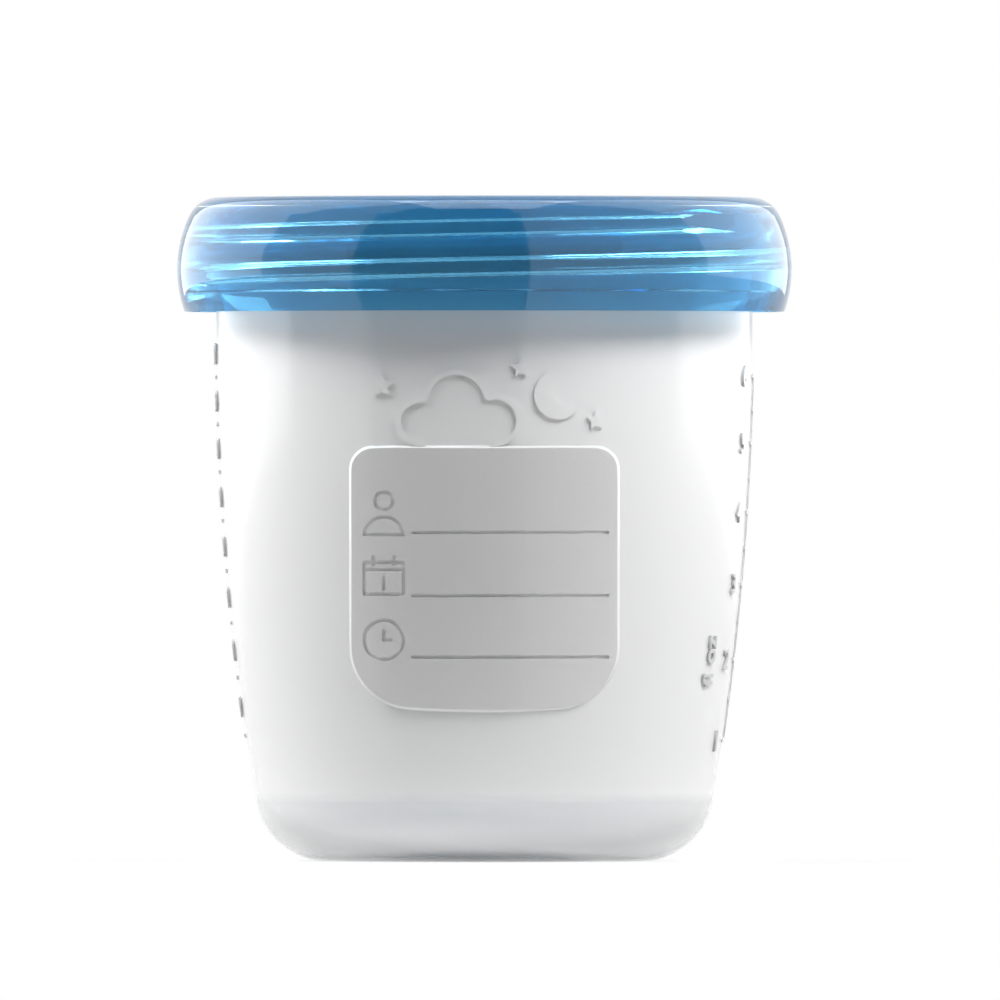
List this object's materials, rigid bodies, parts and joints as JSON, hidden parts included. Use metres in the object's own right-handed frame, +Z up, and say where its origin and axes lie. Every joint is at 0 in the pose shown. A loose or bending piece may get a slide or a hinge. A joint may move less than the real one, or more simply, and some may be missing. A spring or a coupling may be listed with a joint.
{
  "type": "breast milk storage cup",
  "caption": "Round tapered plastic cup with a screw lid and seal ring, a raised writing panel on its front and a moulded volume scale on each side.",
  "frame": {"origin": "middle of the foot ring, on the surface that the cup stands on", "axes": "+Z up along the cup's axis, the writing panel faces -Y, +X to the right of somebody who reads it"},
  "size_m": [0.0784, 0.0784, 0.0846],
  "materials": {
    "clear_pp": "milky clear polypropylene, glossy, with a matt writing panel",
    "silicone": "soft translucent silicone",
    "blue_pp": "translucent blue polypropylene, glossy"
  },
  "bodies": {
    "cup": {"cup": "clear_pp"},
    "seal": {"seal_ring": "silicone"},
    "lid": {"screw_lid": "blue_pp"}
  },
  "joints": [
    {"name": "lid_lift", "type": "slide", "parent": "cup", "child": "seal", "axis": [0, 0, 1], "range_m": [0, 0.0142]},
    {"name": "lid_turn", "type": "hinge", "parent": "seal", "child": "lid", "pos_m": [0, 0, 0], "axis": [0, 0, 1], "range_deg": [0, 1080]}
  ],
  "couplings": [
    {"joint": "lid_lift", "follows": "lid_turn", "m_per_rad": 0.00074803}
  ]
}
